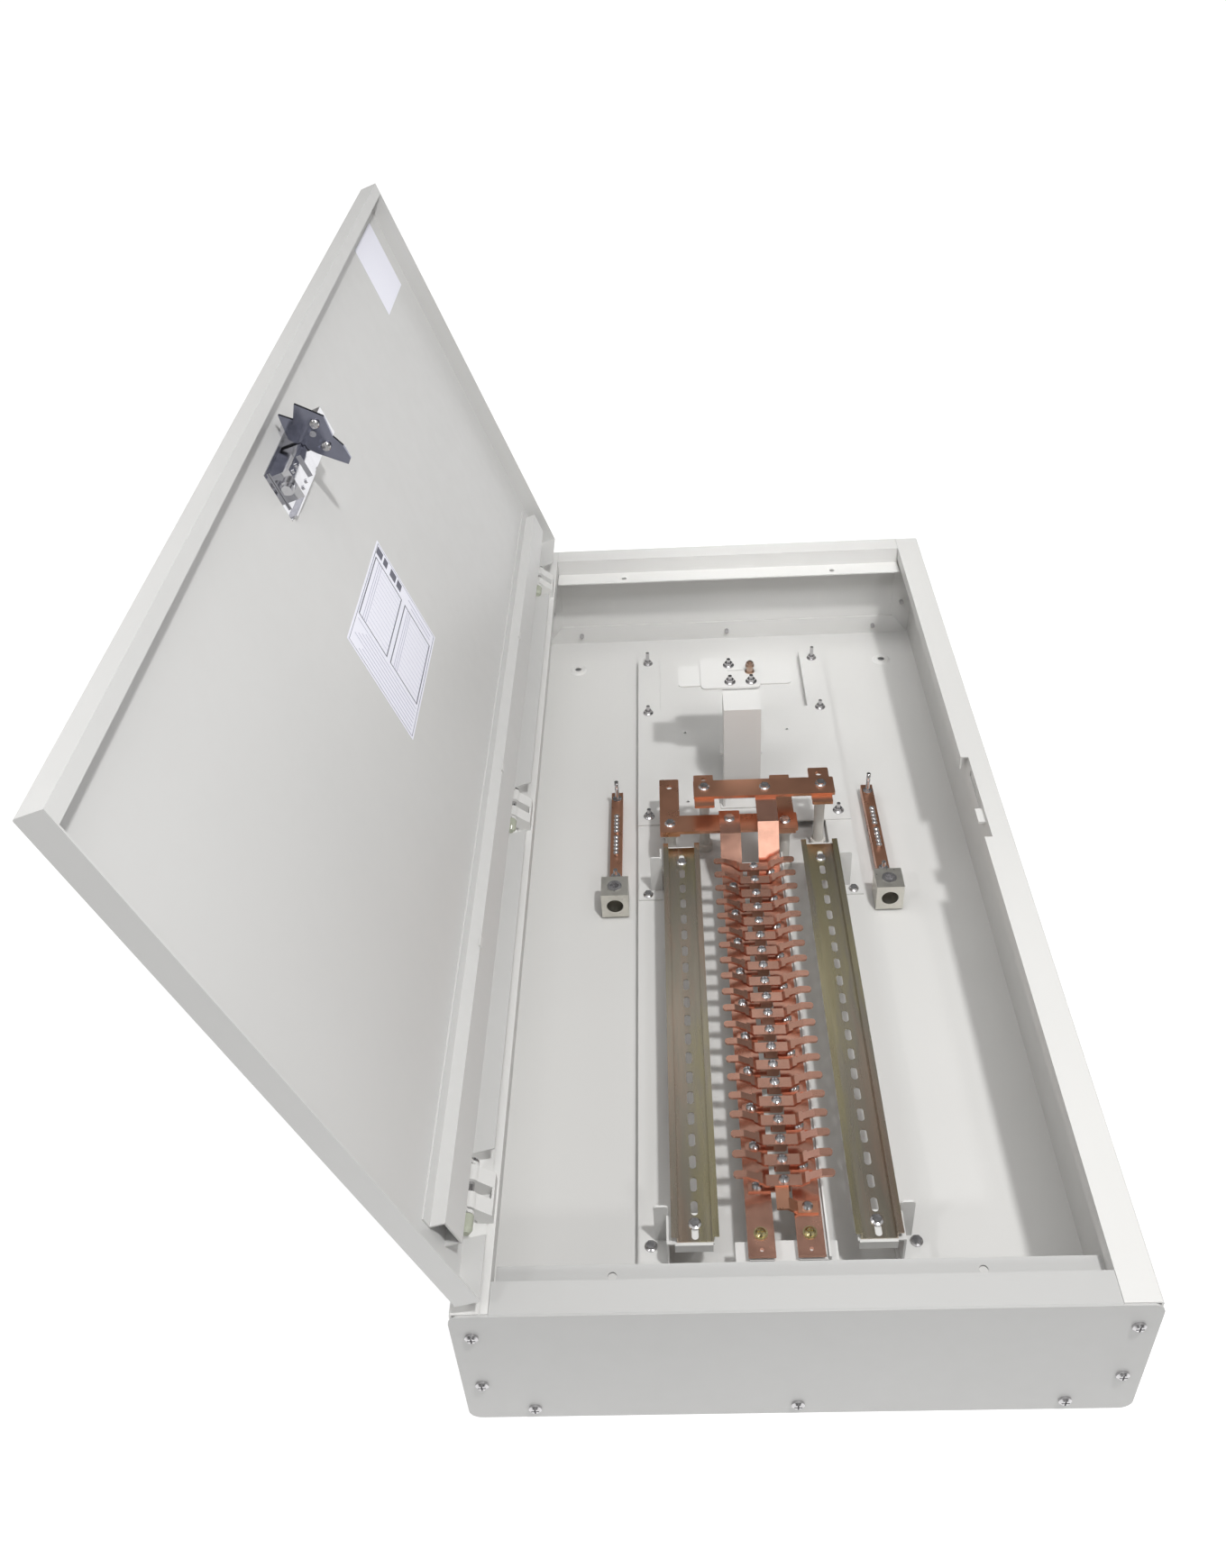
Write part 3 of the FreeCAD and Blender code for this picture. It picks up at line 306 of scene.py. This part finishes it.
def round_piece(name, shapes, mat, rides):
    """One smooth piece from domes (matrix, radius, None) and discs or rods (matrix, radius, length)."""
    bm = bmesh.new()
    for at, radius, length in shapes:
        if length is None:
            bmesh.ops.create_uvsphere(bm, u_segments=32, v_segments=20, radius=radius, matrix=at)
        else:
            bmesh.ops.create_cone(bm, cap_ends=True, segments=40, radius1=radius, radius2=radius,
                                  depth=length, matrix=at)
    add_piece(name, bm, mat, rides, smooth=True)


def spot(x, y, z):
    return Matrix.Translation((x, y, z))


# ---------------------------------------------------------------- labels and welds on the door, in mm
# x to the door's free side, y to the head end, z out of the box; the inner face is at DOOR_FACE
DOOR_FACE = 148.9
SHEET_Z = (DOOR_FACE - 0.30, DOOR_FACE - 0.02)
PRINT_Z = (DOOR_FACE - 0.36, DOOR_FACE - 0.31)
WELD_Z = (DOOR_FACE - 13, DOOR_FACE - 12)
SHEET = (-53, 51, -98, 47)
BORDER = (-51, 49, -96, 45)
BORDER_LINE = 0.5
TABLE_STARTS = (-48, 2)
TABLE_WIDTH = 45
TABLE_FOOT = -58
TABLE_HEAD = 27
TABLE_LINE = 1.2
TABLE_COLUMNS = (34, 36.5, 39)
COLUMN_LINE = 0.6
TABLE_ROWS = 14
ROW_PITCH = 6
ROW_LINE = 0.4
ROW_START = 1
ROW_END = 33
HEADING_END = 48
HEADING_PITCH = 11.5
HEADING_WIDTHS = (9, 6, 9, 7)
HEADING_Y = (32, 42)
HEADING_RULES = ((-46, -6, 38, 39), (-46, -12, 33, 34))
NOTE_START = -48
NOTE_END = 46
NOTE_HEAD = -64
NOTE_LINES = 7
NOTE_PITCH = 4.6
NOTE_LINE = 0.8
CORNER_SHEET = (127, 195, 367, 452)
WELD_X = (-174.5, -171)
WELD_HALF_LENGTH = 5
WELD_ROWS = (212, -1, -213)


def add_line(lines, x0, x1, y0, y1):
    lines.append((x0, x1, y0, y1, *PRINT_Z))


def add_outline(lines, x0, x1, y0, y1, width):
    add_line(lines, x0, x1, y0, y0 + width)
    add_line(lines, x0, x1, y1 - width, y1)
    add_line(lines, x0, x0 + width, y0, y1)
    add_line(lines, x1 - width, x1, y0, y1)


dark_lines = []
pale_lines = []
add_outline(dark_lines, *BORDER, BORDER_LINE)
# two tables, each with blank rows and three narrow columns
for start in TABLE_STARTS:
    add_outline(dark_lines, start, start + TABLE_WIDTH, TABLE_FOOT, TABLE_HEAD, TABLE_LINE)
    for column in TABLE_COLUMNS:
        add_line(pale_lines, start + column, start + column + COLUMN_LINE, TABLE_FOOT, TABLE_HEAD)
    for k in range(1, TABLE_ROWS):
        y = TABLE_HEAD - ROW_PITCH * k
        add_line(pale_lines, start + ROW_START, start + ROW_END, y, y + ROW_LINE)
# a block of plain rules with uneven ends
for k in range(NOTE_LINES):
    y = NOTE_HEAD - NOTE_PITCH * k
    add_line(pale_lines, NOTE_START, NOTE_END - (k * 13) % 17, y, y + NOTE_LINE)
# a heading of plain blocks and two rules
for k, width in enumerate(HEADING_WIDTHS):
    end = HEADING_END - HEADING_PITCH * k
    add_line(dark_lines, end - width, end, *HEADING_Y)
for heading_rule in HEADING_RULES:
    add_line(pale_lines, *heading_rule)

door_piece("data_label", [(*SHEET, *SHEET_Z)], LABEL)
door_piece("label_mark", dark_lines, INK)
door_piece("label_rules", pale_lines, INK_PALE)
door_piece("corner_label", [(*CORNER_SHEET, *SHEET_Z)], LABEL)
# weld bumps beside the stiffener
door_piece("weld_bumps", [(*WELD_X, y - WELD_HALF_LENGTH, y + WELD_HALF_LENGTH, *WELD_Z) for y in WELD_ROWS],
           PAINT)

# ---------------------------------------------------------------- rivets, washers and screw heads, in metres
CLAW_Y = -0.0136
CLAW_RIVETS_XZ = ((0.1804, 0.1190), (0.1617, 0.1199))
RIVET_RADIUS = 0.0038
BUS_X = 0.018
WASHER_Y = -0.372
WASHER_Z = 0.04435
WASHER_RADIUS = 0.0053
WASHER_DEPTH = 0.0007
NEUTRAL_X = 0.1315
TERMINAL_STARTS = (0.1265, 0.0940)
TERMINALS_PER_GROUP = 5
TERMINAL_PITCH = 0.0056
TERMINAL_Z = 0.0190
TERMINAL_RADIUS = 0.00275
STUD_Y = 0.158
STUD_Z = 0.0345
STUD_RADIUS = 0.00205
STUD_LENGTH = 0.010

# domed rivet heads on the claw, drawn on the closed door
flat_dome = Matrix.Diagonal((1, 0.5, 1, 1))
round_piece("claw_rivets", [(SWING @ spot(x, CLAW_Y, z) @ flat_dome, RIVET_RADIUS, None)
                            for x, z in CLAW_RIVETS_XZ], ZINC, "claw")
# plain washers under the two screws at the foot ends of the main buses
round_piece("foot_washers", [(spot(x, WASHER_Y, WASHER_Z), WASHER_RADIUS, WASHER_DEPTH)
                             for x in (-BUS_X, BUS_X)], GOLD_ZINC, "enclosure")
# domed heads on the terminal screws of the neutral bars, and the free ends of the bars' long studs
low_dome = Matrix.Diagonal((1, 1, 0.8, 1))
terminal_rows = [start - TERMINAL_PITCH * k for start in TERMINAL_STARTS for k in range(TERMINALS_PER_GROUP)]
round_piece("terminal_heads", [(spot(x, y, TERMINAL_Z) @ low_dome, TERMINAL_RADIUS, None)
                               for x in (-NEUTRAL_X, NEUTRAL_X) for y in terminal_rows], ZINC, "enclosure")
round_piece("bar_stud_ends", [(spot(x, STUD_Y, STUD_Z), STUD_RADIUS, STUD_LENGTH)
                              for x in (-NEUTRAL_X, NEUTRAL_X)], ZINC, "enclosure")

# ---------------------------------------------------------------- floor
FLOOR_HALF = 12.0
FLOOR_Z = -0.0005
FLOOR_CORNERS = ((-1, -1), (1, -1), (1, 1), (-1, 1))
BOX_HALF = {"X": 0.222, "Y": 0.477}
GLOW_FADE = 0.004


def grey(value):
    return (value, value, value)


def floor_material():
    """A pale floor with a soft glow: a little dimmer near the object, much dimmer past its foot end."""
    made, tree, shader = material("floor", grey(0.25), rough=0.9)
    tone = ramp(tree, noise(tree, scale=0.6, detail=2), [(0.3, grey(0.24)), (0.7, grey(0.26))])
    tree.links.new(tone, shader.inputs["Base Color"])
    coord = tree.nodes.new("ShaderNodeTexCoord")
    distance = tree.nodes.new("ShaderNodeVectorMath")
    distance.operation = "LENGTH"
    tree.links.new(coord.outputs["Object"], distance.inputs[0])
    far = remap(tree, distance.outputs["Value"], at_start=0.86, at_end=1.0, start=0.9, end=2.6)
    before_foot = remap(tree, position(tree, "Y"), at_start=0.25, at_end=1.0, start=-0.95, end=-0.60)
    # no glow under the box, so its open holes stay dark
    beyond = []
    for axis, half in BOX_HALF.items():
        span = calculate(tree, "ABSOLUTE", position(tree, axis))
        beyond.append(remap(tree, span, at_start=0.0, at_end=1.0, start=half - GLOW_FADE, end=half))
    outside = calculate(tree, "MAXIMUM", *beyond)
    glow = calculate(tree, "MULTIPLY", calculate(tree, "MULTIPLY", far, before_foot), outside)
    shader.inputs["Emission Color"].default_value = (1, 1, 1, 1)
    tree.links.new(glow, shader.inputs["Emission Strength"])
    return made


corners = [(x * FLOOR_HALF, y * FLOOR_HALF, FLOOR_Z) for x, y in FLOOR_CORNERS]
floor_mesh = bpy.data.meshes.new("floor")
floor_mesh.from_pydata(corners, [], [(0, 1, 2, 3)])
floor_mesh.materials.append(floor_material())
floor = bpy.data.objects.new("floor", floor_mesh)
bpy.context.collection.objects.link(floor)

# ---------------------------------------------------------------- studio light
bpy.context.scene.view_settings.view_transform = "Standard"
# both keep stray bright specks out of the polished copper
bpy.context.scene.cycles.sample_clamp_indirect = 1.0
bpy.context.scene.cycles.blur_glossy = 4.0

world = bpy.data.worlds.new("studio")
bpy.context.scene.world = world
world.use_nodes = True
studio = world.node_tree
background = studio.nodes["Background"]


def facing(direction, at_start, at_end, start, end):
    """As remap, for the cosine between the way looked along and the direction, with eased ends."""
    coord = studio.nodes.new("ShaderNodeTexCoord")
    dot = studio.nodes.new("ShaderNodeVectorMath")
    dot.operation = "DOT_PRODUCT"
    dot.inputs[1].default_value = Vector(direction).normalized()
    studio.links.new(coord.outputs["Generated"], dot.inputs[0])
    return remap(studio, dot.outputs["Value"], at_start, at_end, start, end, "SMOOTHSTEP")


# brighter overhead, with a dim patch high at each end that the bare metal mirrors
sky = facing((0, 0, 1), at_start=0.14, at_end=0.66, start=0.0, end=0.9)
head_patch = facing((0.05, 0.68, 0.73), at_start=1.0, at_end=0.22, start=0.62, end=0.88)
foot_patch = facing((0.03, -0.68, 0.73), at_start=1.0, at_end=0.12, start=0.90, end=0.975)
strength = calculate(studio, "MULTIPLY", calculate(studio, "MULTIPLY", sky, head_patch), foot_patch)
studio.links.new(strength, background.inputs["Strength"])
background.inputs["Color"].default_value = (1, 0.995, 0.985, 1)


def area(name, at, look, width, height, power, spread=180):
    """A rectangular lamp at one point, turned to another; spread is in degrees."""
    lamp = bpy.data.lights.new(name, "AREA")
    lamp.shape = "RECTANGLE"
    lamp.size = width
    lamp.size_y = height
    lamp.energy = power
    lamp.spread = math.radians(spread)
    o = bpy.data.objects.new(name, lamp)
    o.location = at
    o.rotation_euler = (Vector(look) - Vector(at)).to_track_quat("-Z", "Y").to_euler()
    bpy.context.collection.objects.link(o)


area("key_right", at=(0.51, -0.96, 2.4), look=(0, 0, 0), width=0.14, height=0.14, power=36)
area("key_left", at=(-1.15, -1.45, 1.85), look=(0, 0.1, 0), width=0.12, height=0.12, power=6)
area("low_right", at=(0.62, -1.95, 1.6), look=(-0.1, 0, 0.2), width=0.15, height=0.15, power=7)
area("side_fill", at=(2.1, 0.3, 1.5), look=(-0.3, 0, 0.4), width=1.4, height=1.8, power=0.6)
area("front_panel", at=(0.1, -2.9, 1.15), look=(0, 0, 0.1), width=1.2, height=0.6, power=4)
area("head_top", at=(0.0, 1.7, 2.3), look=(0, 0.1, 0), width=1.0, height=0.6, power=1.2)
area("left_top", at=(-1.5, 0.1, 2.2), look=(0.1, 0, 0), width=0.6, height=1.0, power=9)
area("overhead", at=(0.0, 0.0, 3.0), look=(0, 0, 0), width=1.2, height=1.2, power=14)
area("head_fill", at=(0.0, -0.3, 1.0), look=(0.03, 0.52, 0.12), width=0.25, height=0.25, power=0.2, spread=32)

# ---------------------------------------------------------------- camera
camera_data = bpy.data.cameras.new("camera")
camera_data.sensor_fit = "VERTICAL"
camera_data.sensor_height = 32
camera_data.lens = 27.72
camera_data.shift_x = -0.006
camera_data.shift_y = -0.0317
camera = bpy.data.objects.new("camera", camera_data)
camera.location = (-0.0677, -0.9378, 0.9464)
camera.rotation_euler = tuple(math.radians(angle) for angle in (52.364, 2.939, 0.559))
bpy.context.collection.objects.link(camera)
bpy.context.scene.camera = camera
